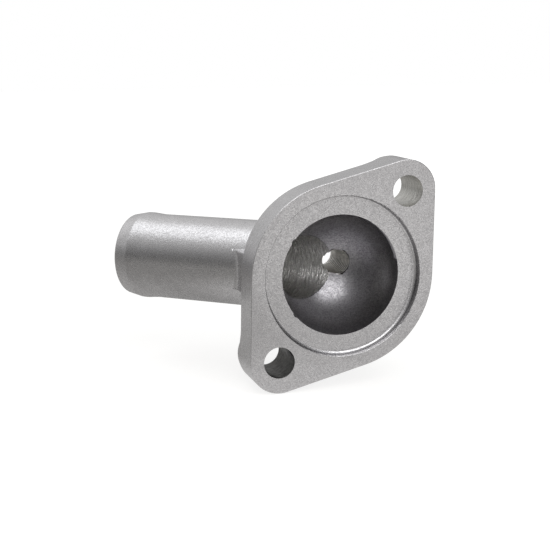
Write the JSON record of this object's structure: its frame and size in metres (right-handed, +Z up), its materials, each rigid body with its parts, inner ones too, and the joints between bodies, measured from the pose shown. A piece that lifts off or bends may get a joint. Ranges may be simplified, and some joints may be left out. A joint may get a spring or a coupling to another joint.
{
  "type": "thermostat housing",
  "caption": "Cast elbow housing with a two-bolt flange, a thermostat recess before a domed chamber, an oblique hose spigot and a tapped sensor port.",
  "frame": {"origin": "centre of the thermostat recess, on the mounting face", "axes": "-Y is the mounting face's outward normal, so the casting goes back to +Y; +Z is up, square to the plane that holds the chamber's axis and the spigot's axis; the spigot leaves to -X and +Y"},
  "size_m": [0.0998, 0.079, 0.0766],
  "materials": {
    "cast_aluminium": "matt blasted casting with a machined face and drilled holes"
  },
  "bodies": {
    "root": {"housing": "cast_aluminium"}
  },
  "joints": []
}
